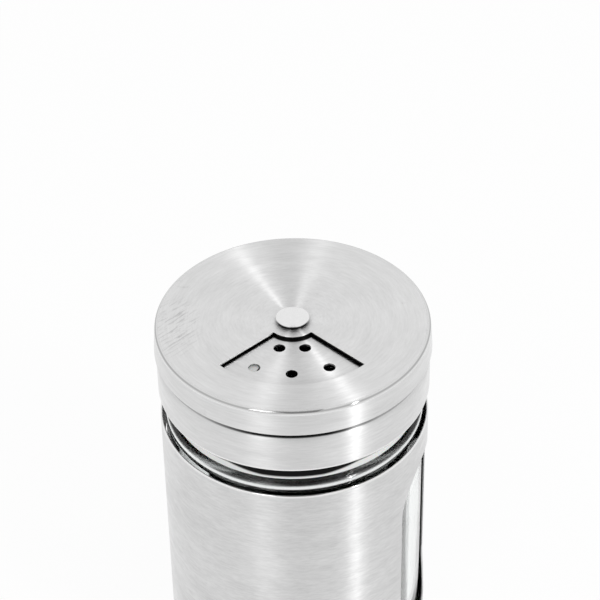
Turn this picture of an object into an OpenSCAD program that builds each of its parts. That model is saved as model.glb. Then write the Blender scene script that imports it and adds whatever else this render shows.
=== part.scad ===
// Spice shaker: a glass jar in a windowed steel sleeve, closed by a screw cap with a turning cover.
// The cover's quarter window is turned over small holes, large holes, a pouring gap or a blank quarter.
// Millimetres, +Z up, origin at the middle of the foot. Radii are measured from the upright axis.

/* [Jar] */
// Thickness of the glass
jar_wall = 2.4; // [1.6:0.1:3]
// Height of the jar from its foot to its flat shoulder
jar_body_h = 65.5; // [50:0.1:110]
// Thickness of the jar's base
jar_base = 5; // [3:0.1:8]
// Rounding of the jar's outer heel
jar_heel = 3; // [1:0.1:5]
// Rounding of the shoulder's outer edge
jar_shoulder_round = 1.4; // [1:0.1:2]
// Height of the neck from the shoulder to the lip
neck_h = 17.5; // [15:0.1:22]
// Rounding where the neck meets the shoulder
neck_fillet = 0.8; // [0.2:0.1:1]
// Rounding of the lip's outer edge
lip_round = 0.8; // [0.4:0.1:1]
// Rounding of the jar's inside above its floor
inner_heel = 4.2; // [2:0.1:6]
// Width of the flat ring that the jar stands on
jar_foot_w = 11; // [6:0.5:14]
// Height of the hollow under the jar's base
punt_h = 1.6; // [0.5:0.1:2.4]

/* [Sleeve] */
// Sheet thickness of the sleeve
sleeve_wall = 0.5; // [0.4:0.1:0.8]
// Radial gap between the jar and the sleeve
sleeve_gap = 0.5; // [0.3:0.1:1]
// Drop from the jar's shoulder to the sleeve's rim
rim_drop = 2.2; // [2:0.1:8]
// Rounding of the sleeve's bottom edge
sleeve_corner = 2.5; // [1.5:0.1:3]
// Width of the flat ring that the sleeve stands on
foot_ring_w = 4.5; // [2:0.1:6]
// Lift of the floor panel above the foot ring
panel_lift = 1; // [0.6:0.1:1.5]
// Thickness of the cushion pad on the floor panel
pad_h = 0.8; // [0.5:0.1:2]
// Margin between the pad's edge and the panel's edge
pad_margin = 1.2; // [0.5:0.1:3]

/* [Windows] */
// Number of windows spaced evenly round the sleeve
window_count = 2; // [1:1:3]
// Width of a window across its straight sides
window_w = 23.4; // [12:0.2:26]
// Distance from the sleeve's rim down to a window's top
window_drop = 6.9; // [4:0.1:14]
// Height of a window's lowest point above the foot
window_foot = 16.7; // [6:0.1:20]
// Turn of the first window from the front towards the right, in degrees
window_turn = 77; // [0:1:180]

/* [Cap] */
// Outer radius of the cap's lower wall, which all other radii follow
cap_r = 29.1; // [26.5:0.1:32.5]
// How far the cap's wall stands out past the sleeve
cap_proud = 0.1; // [0:0.1:1]
// Sheet thickness of the cap shell
cap_wall = 0.5; // [0.4:0.1:0.6]
// Height of the cap shell from its hole plate to its hem
cap_h = 15.3; // [14.6:0.1:16]
// How far the wall under the cover is drawn in
cap_step = 0.9; // [0.6:0.1:1]
// Height of the rounded step below the cover's skirt
step_h = 2.2; // [1.2:0.1:2.4]
// Height of the folded hem
hem_h = 2.4; // [1.5:0.1:3]
// Outer edge rounding of the hole plate
plate_round = 1; // [0.8:0.1:1.5]

/* [Thread insert] */
// Thickness of the insert's deck under the hole plate
deck_h = 1.2; // [0.8:0.1:2]
// Wall of the insert inside the shell
insert_wall = 2.4; // [1.8:0.1:2.8]
// Wall of the insert's skirt below the hem
skirt_wall = 1.5; // [1:0.1:1.6]
// Radial room for the thread between the neck and the insert
thread_room = 1.3; // [1:0.1:1.3]
// Radial clearance between the insert and the cap shell
insert_clear = 0.1; // [0.05:0.05:0.15]
// Drop from the hem's edge to the top of the insert's taper
taper_drop = 0.5; // [0.2:0.1:1]
// Height of the insert's taper below the hem
taper_h = 1; // [0.5:0.1:1.5]
// Gap between the insert's skirt and the jar's shoulder
skirt_clear = 0.6; // [0.3:0.1:1.2]
// Number of grip ribs between the insert and the shell
rib_count = 16; // [8:1:24]
// Arc that one grip rib covers, in degrees
rib_arc = 8; // [4:1:12]
// Turn of the deck's openings against the hole plate, in degrees
deck_turn = 6.5; // [0:0.5:8]
// Arc of a deck opening, in degrees
deck_arc = 66.4; // [60:0.1:72]
// Inner radius of the deck openings
deck_hub_r = 6.3; // [5.9:0.1:6.4]
// Margin between the deck openings and the seal ring's hole
deck_margin = 0.6; // [0.3:0.1:1]
// Rounding of the skirt's lower edge
skirt_round = 0.4; // [0.2:0.1:0.6]

/* [Seal] */
// Thickness of the seal ring on the jar's lip
seal_h = 1; // [0.6:0.1:1.5]
// Width of the seal ring
seal_w = 5.7; // [4.5:0.1:6.2]
// Radial clearance between the seal ring and the insert
seal_clear = 0.3; // [0.3:0.1:0.6]

/* [Cover] */
// Sheet thickness of the cover
cover_wall = 0.5; // [0.4:0.1:0.6]
// Radial gap between the top of the cover's skirt and the cap
cover_gap = 0.4; // [0.3:0.1:0.8]
// How far the skirt flares out from the cover's top to its edge
cover_flare = 0.4; // [0:0.1:0.6]
// Height of the cover with its skirt
cover_h = 6; // [5:0.1:6.4]
// Outer edge rounding of the cover
cover_round = 0.8; // [0.7:0.1:2]
// Gap between the skirt's edge and the cap's rounded step
cover_clear = 0.6; // [0.4:0.1:0.8]
// Arc of the cover's window, in degrees
cover_arc = 93; // [80:1:94]
// Inner radius of the cover's window
cover_hub_r = 5.4; // [5:0.1:5.6]
// Width of the cover's top outside its window
cover_rim_w = 8.5; // [7:0.1:10]

/* [Hole plate] */
// Diameter of the small shaker holes
small_hole_d = 2.5; // [1.5:0.1:3]
// Distance from the hub's edge to the row of two small holes
small_inner_in = 1.9; // [1.3:0.1:2.2]
// Turn of the two small holes from the middle of their quarter, in degrees
small_inner_turn = 19; // [16:1:24]
// Distance from the deck openings' outer edge to the row of three small holes
small_outer_in = 2.6; // [2:0.1:4]
// Turn of the outer small holes from the middle one, in degrees
small_outer_turn = 29; // [20:1:32]
// Diameter of the large shaker holes
large_hole_d = 4.4; // [3.5:0.1:4.6]
// Distance from the hub's edge to the single large hole
large_inner_in = 3.1; // [2.9:0.1:3.5]
// Distance from the deck openings' outer edge to the pair of large holes
large_outer_in = 3.4; // [3:0.1:4.4]
// Turn of each of the pair from the middle of their quarter, in degrees
large_outer_turn = 21; // [16:1:22]
// Arc of the pouring gap, in degrees
pour_arc = 66; // [50:1:70]
// Distance from the hub's edge to the pouring gap
pour_inner_in = 0.3; // [0.1:0.1:1.7]
// Distance from the deck openings' outer edge to the pouring gap
pour_outer_in = 0.6; // [0.6:0.1:2.4]

/* [Rivet] */
// Diameter of the rivet's head
rivet_head_d = 7.2; // [6:0.1:8]
// Height of the head's dome
rivet_dome_h = 0.8; // [0.6:0.1:1.4]
// Height of the straight edge under the dome
rivet_edge_h = 0.5; // [0.2:0.05:0.8]
// Diameter of the collar that lifts the head off the cover
collar_d = 5.2; // [4.6:0.1:5.6]
// Height of the collar
collar_h = 0.45; // [0.3:0.05:0.6]
// Diameter of the rivet's shank
shank_d = 4; // [3:0.1:4.4]
// Running clearance round the shank
shank_clear = 0.05; // [0.02:0.01:0.1]
// Height of the spacer between the cover and the hole plate
spacer_h = 0.5; // [0.3:0.05:0.6]
// Outer radius of the spacer
spacer_r = 4.4; // [3.6:0.1:4.8]
// Outer radius of the spring and backing washers
washer_r = 4.4; // [3.6:0.1:4.5]
// Radial clearance round the washers in the deck
washer_clear = 0.6; // [0.4:0.1:0.8]
// Thickness of the conical spring washer
spring_wall = 0.25; // [0.15:0.05:0.3]
// Working height of the conical spring washer
spring_h = 0.6; // [0.5:0.1:1]
// Thickness of the backing washer
backing_h = 0.5; // [0.3:0.1:0.8]
// Diameter of the rivet's upset tail
tail_d = 6.4; // [5.4:0.1:7]
// Height of the rivet's upset tail
tail_h = 0.8; // [0.5:0.1:1.2]
// Slip between flat faces that turn on each other
slip = 0.03; // [0.02:0.01:0.05]

/* [Hidden] */
$fn = 96;
// Overlap of joined shapes, and overshoot of cuts past the faces that they open
over = 1;
// More than the part reaches from its axis
far = 60;
// Slope of the step up to the floor panel, which is as wide as it is high
panel_slope = 45;
// The hem is the sheet folded inwards onto itself
hem_wall = 2 * cap_wall;
// Middle of each quarter of the hole plate: small holes, large holes, pouring gap; the fourth is blank
small_turn = 0;
large_turn = 90;
pour_turn = 180;

// Heights from the foot upwards
panel_z = panel_lift + sleeve_wall;
jar_z = panel_z + pad_h;
shoulder_z = jar_z + jar_body_h;
rim_z = shoulder_z - rim_drop;
lip_z = shoulder_z + neck_h;
deck_z = lip_z + seal_h;
plate_z = deck_z + deck_h;
plate_top = plate_z + cap_wall;
cover_z = plate_top + spacer_h;
cover_top = cover_z + cover_wall;
skirt_z = cover_top - cover_h;
flare_z = cover_top - cover_round;
edge_z = skirt_z + cover_wall / 2;
step_top = skirt_z - cover_clear;
step_z = step_top - step_h;
hem_z = plate_top - cap_h;
hem_top = hem_z + hem_h;
insert_z = shoulder_z + skirt_clear;
washer_z = plate_z - slip - spring_h;
tail_z = washer_z - backing_h;

// Radii from the cap's wall inwards and outwards
sleeve_r = cap_r - cap_proud;
jar_r = sleeve_r - sleeve_wall - sleeve_gap;
punt_r = jar_r - jar_heel - jar_foot_w;
panel_r = sleeve_r - sleeve_corner - foot_ring_w;
drawn_r = cap_r - cap_step;
cover_r = drawn_r + cover_gap + cover_wall;
edge_r = cover_r + cover_flare;
insert_r = drawn_r - cap_wall - insert_clear;
rib_r = cap_r - cap_wall - insert_clear;
thread_r = insert_r - insert_wall;
skirt_r = thread_r + skirt_wall;
neck_r = thread_r - thread_room;
seal_r = thread_r - seal_clear;
seal_hole_r = seal_r - seal_w;
deck_open_r = seal_hole_r - deck_margin;
small_inner_r = deck_hub_r + small_inner_in;
small_outer_r = deck_open_r - small_outer_in;
large_inner_r = deck_hub_r + large_inner_in;
large_outer_r = deck_open_r - large_outer_in;
pour_hub_r = deck_hub_r + pour_inner_in;
pour_open_r = deck_open_r - pour_outer_in;
cover_open_r = cover_r - cover_rim_w;
bore_r = shank_d / 2 + shank_clear;
washer_room_r = washer_r + washer_clear;
// Radius of the arc that blends the drawn-in wall into the lower wall
step_round = (step_h * step_h + cap_step * cap_step) / (2 * cap_step);

// Profile of a ring or disc between two radii and two heights
module band(inner, outer, low, high) {
    translate([inner, low]) square([outer - inner, high - low]);
}

// Profile of a disc with its upper outer edge rounded
module disc_round_top(outer, low, high, round) {
    band(0, outer, low, high - round);
    band(0, outer - round, low, high);
    translate([outer - round, high - round]) circle(r = round);
}

// Profile of a disc with its lower outer edge rounded
module disc_round_foot(outer, low, high, round) {
    band(0, outer, low + round, high);
    band(0, outer - round, low, high);
    translate([outer - round, low + round]) circle(r = round);
}

// A profile turned about the axis, without whatever reaches past it
module turned() {
    rotate_extrude() intersection() {
        children();
        band(0, far, -far, 3 * far);
    }
}

// A quarter or other sector, its middle turned from the front towards the right
module sector(inner, outer, low, high, arc, turn) {
    rotate([0, 0, turn - 90 - arc / 2]) rotate_extrude(angle = arc) band(inner, outer, low, high);
}

// A round hole through a plate, placed by its radius and its turn from the front
module hole(radius, turn, diameter, low, high) {
    rotate([0, 0, turn]) translate([0, -radius, low]) cylinder(d = diameter, h = high - low);
}

// A window's outline, pushed outwards through the sleeve's wall
module window_cut() {
    round = window_w / 2;
    low = window_foot + round;
    high = rim_z - window_drop - round;
    translate([0, 0, low]) rotate([90, 0, 0]) cylinder(r = round, h = sleeve_r + over);
    translate([0, 0, high]) rotate([90, 0, 0]) cylinder(r = round, h = sleeve_r + over);
    translate([-round, -sleeve_r - over, low]) cube([window_w, sleeve_r + over, high - low]);
}

module sleeve_outside() {
    disc_round_foot(sleeve_r, 0, rim_z - sleeve_wall / 2, sleeve_corner);
}

// The inside follows the outside at one sheet's thickness, over the raised panel too
module sleeve_inside() {
    fold = sleeve_wall * tan(panel_slope / 2);
    difference() {
        disc_round_foot(sleeve_r - sleeve_wall, sleeve_wall, rim_z + over, sleeve_corner - sleeve_wall);
        polygon([[0, 0], [panel_r + fold, 0], [panel_r + fold, sleeve_wall],
            [panel_r + fold - panel_lift, panel_z], [0, panel_z]]);
    }
}

module panel_recess() {
    polygon([[0, -over], [panel_r, -over], [panel_r, 0], [panel_r - panel_lift, panel_lift], [0, panel_lift]]);
}

module sleeve() {
    color("silver") difference() {
        turned() {
            difference() {
                sleeve_outside();
                sleeve_inside();
                panel_recess();
            }
            translate([sleeve_r - sleeve_wall / 2, rim_z - sleeve_wall / 2]) circle(d = sleeve_wall);
        }
        for (i = [0 : window_count - 1])
            rotate([0, 0, window_turn + i * 360 / window_count]) window_cut();
    }
}

module base_pad() {
    color("whitesmoke") turned() band(0, panel_r - panel_lift - pad_margin, panel_z, jar_z);
}

module jar_outside() {
    disc_round_foot(jar_r, jar_z, shoulder_z - jar_shoulder_round, jar_heel);
    disc_round_top(jar_r, jar_z + jar_heel, shoulder_z, jar_shoulder_round);
    disc_round_top(neck_r, shoulder_z - over, lip_z, lip_round);
    difference() {
        band(0, neck_r + neck_fillet, shoulder_z - over, shoulder_z + neck_fillet);
        translate([neck_r + neck_fillet, shoulder_z + neck_fillet]) circle(r = neck_fillet);
    }
}

module jar_inside() {
    inner_r = jar_r - jar_wall;
    floor_z = jar_z + jar_base;
    ceiling_z = shoulder_z - jar_wall;
    disc_round_foot(inner_r, floor_z, ceiling_z - jar_shoulder_round, inner_heel);
    disc_round_top(inner_r, floor_z + inner_heel, ceiling_z, jar_shoulder_round);
    band(0, neck_r - jar_wall, ceiling_z - over, lip_z + over);
}

module punt() {
    ball = (punt_r * punt_r + punt_h * punt_h) / (2 * punt_h);
    translate([0, jar_z + punt_h - ball]) circle(r = ball);
}

module glass_jar() {
    color("lightcyan", 0.4) turned() difference() {
        jar_outside();
        jar_inside();
        punt();
    }
}

module seal_ring() {
    color("white") turned() band(seal_hole_r, seal_r, lip_z, deck_z);
}

// Head, shank and upset tail in one piece
module rivet() {
    head_r = rivet_head_d / 2;
    tail_r = tail_d / 2;
    collar_z = cover_top + slip;
    head_z = collar_z + collar_h;
    dome_z = head_z + rivet_edge_h;
    ball = (head_r * head_r + rivet_dome_h * rivet_dome_h) / (2 * rivet_dome_h);
    tail_ball = (tail_r * tail_r + tail_h * tail_h) / (2 * tail_h);
    color("gainsboro") turned() {
        band(0, head_r, head_z, dome_z);
        intersection() {
            translate([0, dome_z + rivet_dome_h - ball]) circle(r = ball);
            band(0, head_r, dome_z, dome_z + rivet_dome_h);
        }
        band(0, collar_d / 2, collar_z, head_z);
        band(0, shank_d / 2, tail_z, collar_z);
        intersection() {
            translate([0, tail_z - tail_h + tail_ball]) circle(r = tail_ball);
            band(0, tail_r, tail_z - tail_h, tail_z);
        }
    }
}

// A shallow cone that presses the cap and the cover together
module spring_washer() {
    color("darkgray") turned() polygon([
        [bore_r, washer_z + spring_h - spring_wall], [bore_r, washer_z + spring_h],
        [washer_r, washer_z + spring_wall], [washer_r, washer_z]]);
}

module backing_washer() {
    color("silver") turned() band(bore_r, washer_r, tail_z, washer_z);
}

// The blend from the drawn-in wall to the lower wall, moved in by a sheet's thickness for the inside
module step_blend(inset) {
    middle = cap_r - inset - step_round;
    band(0, middle, step_z, step_top);
    intersection() {
        translate([middle, step_z]) circle(r = step_round);
        band(0, far, step_z, step_top);
    }
}

module cap_outside() {
    disc_round_top(drawn_r, step_top - over, plate_top, plate_round);
    step_blend(0);
    band(0, cap_r, hem_z + cap_wall, step_z);
}

module cap_inside() {
    disc_round_top(drawn_r - cap_wall, step_top, plate_z, plate_round - cap_wall);
    step_blend(cap_wall);
    band(0, cap_r - cap_wall, hem_top, step_z);
    band(0, cap_r - hem_wall, hem_z - over, step_z);
}

module hole_pattern(low, high) {
    for (side = [-1, 1])
        hole(small_inner_r, small_turn + side * small_inner_turn, small_hole_d, low, high);
    for (side = [-1, 0, 1])
        hole(small_outer_r, small_turn + side * small_outer_turn, small_hole_d, low, high);
    hole(large_inner_r, large_turn, large_hole_d, low, high);
    for (side = [-1, 1])
        hole(large_outer_r, large_turn + side * large_outer_turn, large_hole_d, low, high);
    sector(pour_hub_r, pour_open_r, low, high, pour_arc, pour_turn);
}

// One drawn shell: the hole plate, the stepped wall and the folded hem that holds the insert
module cap_shell() {
    color("silver") difference() {
        turned() {
            difference() {
                cap_outside();
                cap_inside();
            }
            translate([cap_r - cap_wall, hem_z + cap_wall]) circle(r = cap_wall);
        }
        translate([0, 0, plate_z - over]) cylinder(r = bore_r, h = cap_wall + 2 * over);
        hole_pattern(plate_z - over, plate_top + over);
    }
}

// The insert's outside passes the hem and steps in below it
module insert_outside() {
    taper_top = hem_z - taper_drop;
    disc_round_top(insert_r, taper_top, plate_z, plate_round);
    polygon([[0, taper_top], [insert_r, taper_top], [skirt_r, taper_top - taper_h], [0, taper_top - taper_h]]);
    disc_round_foot(skirt_r, insert_z, taper_top, skirt_round);
}

module insert_ribs() {
    rib_low = hem_top + insert_clear;
    rib_high = step_z - insert_clear;
    for (i = [0 : rib_count - 1])
        rotate([0, 0, i * 360 / rib_count])
            rotate_extrude(angle = rib_arc) band(insert_r - over, rib_r, rib_low, rib_high);
}

module thread_insert() {
    color("ivory") difference() {
        union() {
            turned() difference() {
                insert_outside();
                band(0, thread_r, insert_z - over, deck_z);
                band(0, washer_room_r, deck_z - over, plate_z + over);
            }
            insert_ribs();
        }
        for (turn = [small_turn, large_turn, pour_turn])
            sector(deck_hub_r, deck_open_r, deck_z - over, plate_z + over, deck_arc, turn + deck_turn);
    }
}

module spacer_washer() {
    color("white") turned() band(bore_r, spacer_r, plate_top, cover_z - slip);
}

// The flared skirt under the cover's rounded edge, moved in by the sheet's thickness for the inside
module skirt_flare(inset) {
    polygon([[0, edge_z], [edge_r - inset, edge_z], [cover_r - inset, flare_z], [0, flare_z]]);
}

module cover_outside() {
    disc_round_top(cover_r, edge_z, cover_top, cover_round);
    skirt_flare(0);
}

module cover_inside() {
    disc_round_top(cover_r - cover_wall, edge_z, cover_z, cover_round - cover_wall);
    skirt_flare(cover_wall);
    band(0, edge_r - cover_wall, edge_z - over, edge_z);
}

module cover() {
    color("silver") difference() {
        turned() {
            difference() {
                cover_outside();
                cover_inside();
            }
            translate([edge_r - cover_wall / 2, edge_z]) circle(d = cover_wall);
        }
        translate([0, 0, cover_z - over]) cylinder(r = bore_r, h = cover_wall + 2 * over);
        sector(cover_hub_r, cover_open_r, cover_z - over, cover_top + over, cover_arc, small_turn);
    }
}

sleeve();
base_pad();
glass_jar();
seal_ring();
rivet();
spring_washer();
backing_washer();
cap_shell();
thread_insert();
spacer_washer();
cover();
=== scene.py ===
import math

import bmesh
import bpy
from bpy.props import FloatProperty, FloatVectorProperty, IntProperty, PointerProperty
from mathutils import Matrix, Quaternion, Vector


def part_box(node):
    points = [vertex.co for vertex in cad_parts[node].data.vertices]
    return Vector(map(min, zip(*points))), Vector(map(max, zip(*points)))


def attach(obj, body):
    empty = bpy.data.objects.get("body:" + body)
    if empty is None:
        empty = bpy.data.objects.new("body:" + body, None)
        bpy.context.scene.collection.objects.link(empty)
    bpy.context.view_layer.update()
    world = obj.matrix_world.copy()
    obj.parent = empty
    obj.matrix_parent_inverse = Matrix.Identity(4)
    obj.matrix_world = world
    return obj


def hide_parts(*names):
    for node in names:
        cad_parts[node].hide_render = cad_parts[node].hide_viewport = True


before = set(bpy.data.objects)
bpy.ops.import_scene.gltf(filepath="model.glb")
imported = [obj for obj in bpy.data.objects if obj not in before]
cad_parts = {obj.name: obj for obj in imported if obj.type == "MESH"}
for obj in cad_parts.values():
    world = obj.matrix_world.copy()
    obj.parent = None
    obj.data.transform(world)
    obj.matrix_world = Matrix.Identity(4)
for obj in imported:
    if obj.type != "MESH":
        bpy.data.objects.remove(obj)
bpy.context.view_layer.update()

bl_info = {
    "name": "Spice Shaker",
    "version": (1, 0, 0),
    "blender": (4, 5, 0),
    "location": "View3D > Sidebar > Shaker",
    "description": "Dresses a spice shaker: turned steel, clear glass and natural white plastic",
    "category": "Object",
}

MM = 0.001
COVER_LOW, COVER_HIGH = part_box("cover")
CAP_LOW, CAP_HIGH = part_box("cap_shell")
SLEEVE_LOW, SLEEVE_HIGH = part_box("sleeve")
JAR_LOW, JAR_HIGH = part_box("glass_jar")
INSERT_LOW, INSERT_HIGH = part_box("thread_insert")
RIVET_LOW, RIVET_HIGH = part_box("rivet")

# The place that the lamps and the card face.
MIDDLE = Vector((0, 0, 0.066))
WHITE = (1.0, 1.0, 1.0, 1.0)
# Brush lines in a metre of sheet.
BRUSH_LINES = 2200.0
# Segments round the sheet pieces, and the rounding of their cut edges.
FINE_TURN = 384
SHEET_EDGE = 0.06 * MM
# Keeps the distance from the axis above nought, since finishes divide by it.
HAIR = 1e-9


# ---------------------------------------------------------------- settings


def length(name, metres, description):
    """A length property, in metres."""
    return FloatProperty(
        name=name, description=description, default=metres, min=0.0, precision=5, subtype="DISTANCE",
        unit="LENGTH",
    )


def turn(name, degrees, description):
    """An angle property; its default is given in degrees."""
    return FloatProperty(
        name=name, description=description, default=math.radians(degrees), subtype="ANGLE", unit="ROTATION"
    )


def tint(name, rgb, description):
    """A colour property."""
    return FloatVectorProperty(
        name=name, description=description, default=rgb, size=3, min=0.0, max=1.0, subtype="COLOR"
    )


def share(name, value, description):
    """A number from 0 to 1."""
    return FloatProperty(
        name=name, description=description, default=value, min=0.0, max=1.0, subtype="FACTOR"
    )


class CoverSizes(bpy.types.PropertyGroup):
    """Sizes of the turning cover"""

    radius: length("Radius", COVER_HIGH.x, "Outer radius of the skirt's edge")
    flare: length("Flare", 0.4 * MM, "How far the skirt flares out from the top to its edge")
    top: length("Top", COVER_HIGH.z, "Height of the cover's top above the foot")
    skirt: length("Skirt", COVER_LOW.z, "Height of the skirt's edge above the foot")
    sheet: length("Sheet", 0.5 * MM, "Thickness of the sheet")
    rounding: length("Rounding", 0.8 * MM, "Rounding of the outer edge")
    bore: length("Bore", 2.05 * MM, "Radius of the hole for the rivet")
    window_arc: turn("Window arc", 93, "Arc of the window")
    window_inner: length("Window inner radius", 5.4 * MM, "Inner radius of the window")
    window_outer: length("Window outer radius", 20.6 * MM, "Outer radius of the window")


class CapSizes(bpy.types.PropertyGroup):
    """Sizes of the drawn cap shell and its hole plate"""

    radius: length("Radius", CAP_HIGH.x, "Outer radius of the lower wall")
    drawn_radius: length("Drawn radius", CAP_HIGH.x - 0.9 * MM, "Radius of the wall under the cover")
    top: length("Top", CAP_HIGH.z, "Height of the hole plate's top above the foot")
    foot: length("Foot", 72.7 * MM, "Height of the hem's edge above the foot")
    sheet: length("Sheet", 0.5 * MM, "Thickness of the sheet")
    rounding: length("Rounding", 1.0 * MM, "Rounding of the plate's outer edge")
    bore: length("Bore", 2.05 * MM, "Radius of the hole for the rivet")
    step_low: length("Step foot", 80.2 * MM, "Height where the rounded step begins")
    step_high: length("Step top", 82.4 * MM, "Height where the rounded step ends")
    hem: length("Hem height", 2.4 * MM, "Height of the folded hem")
    small_hole: length("Small hole", 2.5 * MM, "Diameter of the small shaker holes")
    small_near: length("Near small holes", 8.2 * MM, "Distance of the near small holes from the rivet")
    small_far: length("Far small holes", 16.0 * MM, "Distance of the far small holes from the rivet")
    large_hole: length("Large hole", 4.4 * MM, "Diameter of the large shaker holes")
    large_near: length("Near large hole", 9.4 * MM, "Distance of the near large hole from the rivet")
    large_far: length("Far large holes", 15.2 * MM, "Distance of the far large holes from the rivet")
    pour_arc: turn("Pouring gap arc", 66, "Arc of the pouring gap")
    pour_inner: length("Pouring gap inner radius", 6.6 * MM, "Inner radius of the pouring gap")
    pour_outer: length("Pouring gap outer radius", 18.0 * MM, "Outer radius of the pouring gap")


class SleeveSizes(bpy.types.PropertyGroup):
    """Sizes of the windowed sleeve"""

    radius: length("Radius", SLEEVE_HIGH.x, "Outer radius of the sleeve")
    rim: length("Rim", 65.6 * MM, "Height of the rim above the foot")
    sheet: length("Sheet", 0.5 * MM, "Thickness of the sheet")
    corner: length("Corner", 2.5 * MM, "Rounding of the bottom edge")
    panel: length("Panel radius", 22.0 * MM, "Radius of the raised floor panel")
    lift: length("Panel lift", 1.0 * MM, "Lift of the floor panel")
    windows: IntProperty(name="Windows", description="Number of windows", default=2, min=1, max=3)
    window_width: length("Window width", 21.8 * MM, "Width of a window")
    window_low: length("Window foot", 8.5 * MM, "Height of a window's lowest point")
    window_high: length("Window top", 58.3 * MM, "Height of a window's highest point")
    window_turn: turn("Window turn", 75.3, "Turn of the first window from the front to the right")


class JarSizes(bpy.types.PropertyGroup):
    """Sizes of the glass jar and its thread"""

    radius: length("Radius", JAR_HIGH.x - 0.15 * MM, "Outer radius of the body")
    foot: length("Foot", JAR_LOW.z, "Height of the jar's foot")
    lip: length("Lip", JAR_HIGH.z, "Height of the lip")
    shoulder: length("Shoulder", 67.8 * MM, "Height of the flat shoulder")
    wall: length("Wall", 2.4 * MM, "Thickness of the glass")
    floor: length("Floor", 7.3 * MM, "Height of the jar's inner floor")
    neck: length("Neck radius", 23.9 * MM, "Outer radius of the neck")
    heel: length("Heel", 3.0 * MM, "Rounding of the heel")
    inner_heel: length("Inner heel", 4.2 * MM, "Rounding of the inside above the floor")
    shoulder_round: length("Shoulder rounding", 1.4 * MM, "Rounding of the shoulder's edge")
    punt_radius: length("Punt radius", 14.0 * MM, "Radius of the hollow under the base")
    punt_height: length("Punt height", 1.6 * MM, "Height of the hollow under the base")
    pitch: length("Thread pitch", 4.0 * MM, "Rise of the thread in one turn")
    turns: FloatProperty(name="Turns", description="Turns that the thread climbs", default=1.6, min=0.5)
    thread_foot: length("Thread foot", 6.0 * MM, "Height of the thread's start above the shoulder")
    thread_depth: length("Thread depth", 0.9 * MM, "How far the thread stands out of the neck")
    thread_half: length("Thread half width", 0.9 * MM, "Half the width of the thread's ridge")


class InsertSizes(bpy.types.PropertyGroup):
    """Sizes of the ribbed thread insert"""

    radius: length("Radius", 27.6 * MM, "Outer radius under the cap shell")
    skirt: length("Skirt radius", 26.7 * MM, "Outer radius of the skirt below the hem")
    bore: length("Bore", 25.2 * MM, "Inner radius of the skirt")
    top: length("Top", INSERT_HIGH.z, "Height of the deck's top")
    foot: length("Foot", INSERT_LOW.z, "Height of the skirt's edge")
    deck: length("Deck", 1.2 * MM, "Thickness of the deck")
    hub_hole: length("Hub hole", 5.0 * MM, "Radius of the deck's hole for the rivet's washers")
    opening_inner: length("Opening inner radius", 6.3 * MM, "Inner radius of the deck's openings")
    opening_outer: length("Opening outer radius", 18.6 * MM, "Outer radius of the deck's openings")
    opening_arc: turn("Opening arc", 66.4, "Arc of one of the deck's openings")
    opening_turn: turn("Opening turn", 6.5, "Turn of the first opening from the front to the right")
    taper: length("Taper", 72.2 * MM, "Height where the outside starts to draw in")
    rib_low: length("Rib foot", 75.2 * MM, "Height of the ribs' lower end")
    rib_high: length("Rib top", 80.1 * MM, "Height of the ribs' upper end")
    rib_depth: length("Rib depth", 0.9 * MM, "How far the ribs stand out")
    rib_arc: turn("Rib arc", 8, "Arc of one rib")
    rib_turn: turn("Rib turn", 94, "Turn of the first rib from the front to the right")
    ribs: IntProperty(name="Ribs", description="Number of grip ribs", default=16, min=8, max=24)
    thread_foot: length("Thread foot", 3.95 * MM, "Height of the thread's start above the jar's shoulder")
    thread_depth: length("Thread depth", 0.9 * MM, "How far the thread stands into the bore")
    thread_half: length("Thread half width", 0.8 * MM, "Half the width of the thread's ridge")


class RivetSizes(bpy.types.PropertyGroup):
    """Sizes of the pivot rivet"""

    head: length("Head radius", RIVET_HIGH.x, "Radius of the head")
    top: length("Top", RIVET_HIGH.z, "Height of the dome's top")
    dome: length("Dome", 0.8 * MM, "Height of the dome")
    edge: length("Edge", 0.5 * MM, "Height of the straight edge")
    collar: length("Collar radius", 2.6 * MM, "Radius of the collar under the head")
    collar_height: length("Collar height", 0.45 * MM, "Height of the collar under the head")
    shank: length("Shank radius", 2.0 * MM, "Radius of the shank")
    tail: length("Tail radius", 3.2 * MM, "Radius of the upset tail")
    tail_height: length("Tail height", 0.8 * MM, "Height of the upset tail")


class FinishColours(bpy.types.PropertyGroup):
    """Colours and polish of the finishes"""

    steel: tint("Steel", (0.74, 0.74, 0.74), "Colour of the brushed steel")
    cover_steel: tint("Cover steel", (0.79, 0.79, 0.79), "Colour of the turned cover")
    washer: tint("Washer steel", (0.50, 0.50, 0.50), "Colour of the plain washers")
    glass: tint("Glass", (0.965, 0.985, 0.98), "Colour of the glass")
    insert: tint("Insert", (0.84, 0.84, 0.83), "Colour of the natural white plastic")
    seal: tint("Seal", (0.80, 0.80, 0.78), "Colour of the seal ring")
    pad: tint("Pad", (0.78, 0.78, 0.76), "Colour of the foam pad")
    brushing: share("Brushing", 1.0, "How strongly the brush lines stretch the highlights")


class StudioSettings(bpy.types.PropertyGroup):
    """Light, floor and camera"""

    floor: tint("Floor", (0.93, 0.93, 0.93), "Colour of the floor")
    room: share("Room light", 0.80, "Level of the light from the room")
    reach: length("Reach", 0.9, "Distance of the lamps and the card from the shaker")
    lens: FloatProperty(
        name="Lens", description="Focal length of the camera, in millimetres", default=136.07, min=20.0
    )
    distance: length("Distance", 479.1 * MM, "Distance from the camera to the point that it looks at")
    aim: FloatVectorProperty(
        name="Aim", description="Point that the camera looks at", default=(0.00154, 0.00427, 0.0911),
        precision=5, subtype="TRANSLATION", unit="LENGTH",
    )
    azimuth: turn("Azimuth", 1.2, "Turn of the camera from the front to the right")
    elevation: turn("Elevation", 38.835, "Height of the camera above the horizon")
    roll: turn("Roll", 1.029, "Clockwise roll of the camera")


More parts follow.
